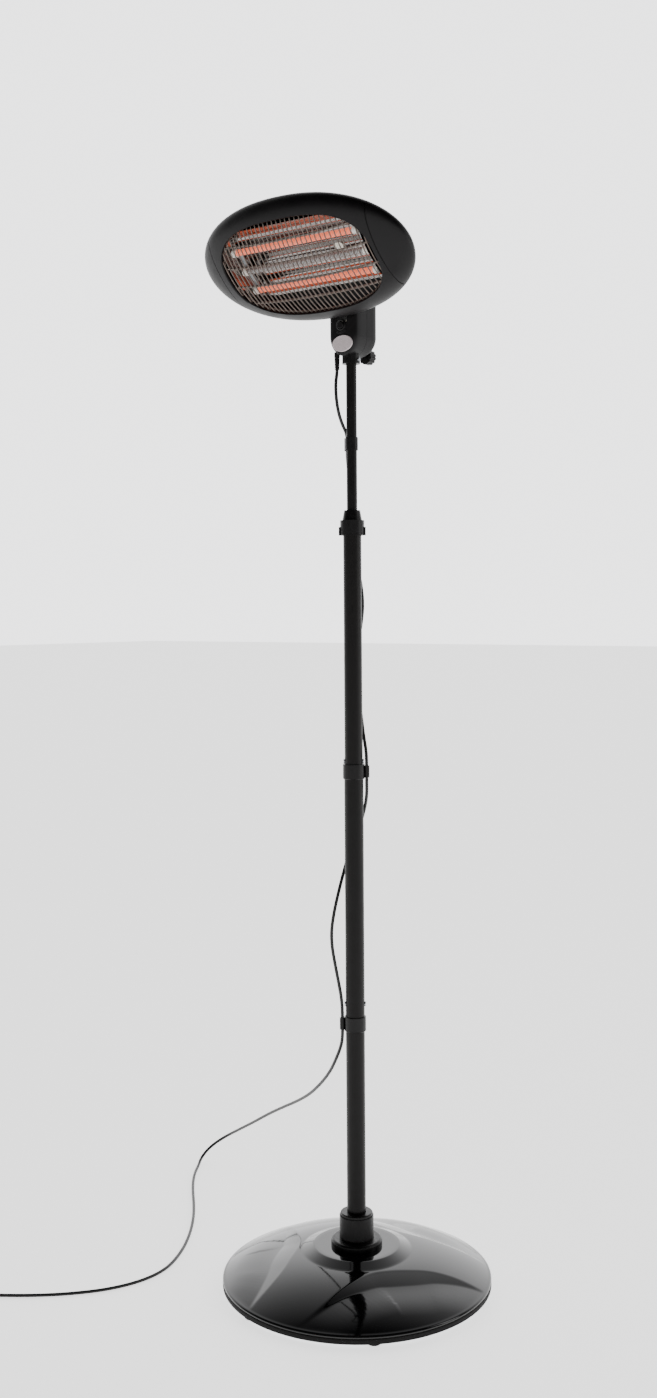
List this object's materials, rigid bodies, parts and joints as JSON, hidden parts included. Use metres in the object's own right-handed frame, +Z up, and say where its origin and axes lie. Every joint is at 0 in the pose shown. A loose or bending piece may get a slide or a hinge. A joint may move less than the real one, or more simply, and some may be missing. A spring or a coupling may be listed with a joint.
{
  "type": "outdoor heater",
  "caption": "Free-standing electric patio heater: weighted round base, sliding pole and a tilting oval radiant head with quartz tubes behind a wire guard.",
  "frame": {"origin": "on the floor under the centre of the round base", "axes": "+Z up along the pole, the heating face looks towards -Y, +X is along the head to its right as seen from behind"},
  "size_m": [0.9248, 0.834, 1.9435],
  "materials": {
    "gloss_black_plastic": "gloss black moulded plastic",
    "cast_weight": "rough cast",
    "zinc_sheet": "zinc plated sheet",
    "black_rubber": "matt rubber",
    "zinc_fasteners": "zinc plated",
    "black_powder_coat": "satin powder coat",
    "black_plastic": "fine moulded texture",
    "satin_black_shell": "satin paint",
    "badge_plate": "pale satin plate",
    "guard_steel": "black coated wire",
    "polished_reflector": "polished",
    "lit_quartz": "clear quartz, glowing",
    "clear_quartz": "clear quartz",
    "heating_wire": "wound resistance wire",
    "white_ceramic": "unglazed",
    "lead_jacket": "black rubber jacket",
    "nickel_pins": "nickel plated"
  },
  "bodies": {
    "stand": {"base_cover": "gloss_black_plastic", "base_plate": "zinc_sheet", "base_ballast": "cast_weight", "base_feet": "black_rubber", "base_socket": "gloss_black_plastic", "socket_bolts": "zinc_fasteners", "socket_ring": "black_plastic", "lower_tube": "black_powder_coat", "middle_tube": "black_powder_coat", "upper_tube": "black_powder_coat", "lower_spigot": "zinc_sheet", "upper_spigot": "zinc_sheet", "lower_joint_collar": "black_plastic", "upper_joint_collar": "black_plastic", "joint_screws": "black_powder_coat", "lock_sleeve": "black_plastic", "lock_collet": "black_plastic", "cord_slack": "lead_jacket", "cord_lower": "lead_jacket", "cord_coil": "lead_jacket", "plug": "black_rubber", "plug_pins": "nickel_pins"},
    "height_lock": {"lock_ring": "black_plastic"},
    "mast": {"mast_tube": "black_powder_coat", "mast_guide": "black_plastic", "mast_clip": "black_plastic", "neck_front_shell": "black_plastic", "neck_rear_shell": "black_plastic", "neck_socket": "black_plastic", "socket_screw": "zinc_fasteners", "neck_badge": "badge_plate", "neck_screws": "black_powder_coat", "pivot_bolt": "black_powder_coat", "pivot_nut": "black_plastic", "terminal_block": "white_ceramic", "heat_switch": "black_plastic", "cord_gland": "black_rubber", "cord_upper": "lead_jacket"},
    "neck_lock": {"neck_lock_knob": "black_plastic"},
    "button": {"heat_button": "black_plastic"},
    "head": {"head_bezel": "satin_black_shell", "head_rear_shell": "satin_black_shell", "left_end_cap": "satin_black_shell", "right_end_cap": "satin_black_shell", "guard_grille": "guard_steel", "reflector": "polished_reflector", "upper_element": "lit_quartz", "middle_element": "clear_quartz", "lower_element": "lit_quartz", "element_coils": "heating_wire", "element_holders": "white_ceramic", "element_brackets": "zinc_sheet", "tilt_bracket": "black_powder_coat", "thermal_cutout": "nickel_pins"}
  },
  "joints": [
    {"name": "mast_height", "type": "slide", "parent": "stand", "child": "mast", "axis": [0, 0, 1], "range_m": [-0.09, 0.12], "deforming": ["cord_slack"]},
    {"name": "head_tilt", "type": "hinge", "parent": "mast", "child": "head", "pos_m": [0, 0.0065, 1.8], "axis": [1, 0, 0], "range_deg": [-37, 8]},
    {"name": "height_lock_turn", "type": "hinge", "parent": "stand", "child": "height_lock", "pos_m": [0, 0, 1.41], "axis": [0, 0, 1], "range_deg": [0, 90]},
    {"name": "neck_lock_turn", "type": "hinge", "parent": "mast", "child": "neck_lock", "pos_m": [0, 0.05, 1.714], "axis": [0, 1, 0], "range_deg": [0, 540]},
    {"name": "button_press", "type": "slide", "parent": "mast", "child": "button", "axis": [0, 1, 0], "range_m": [0, 0.0025], "stiffness_N_per_m": 800}
  ]
}
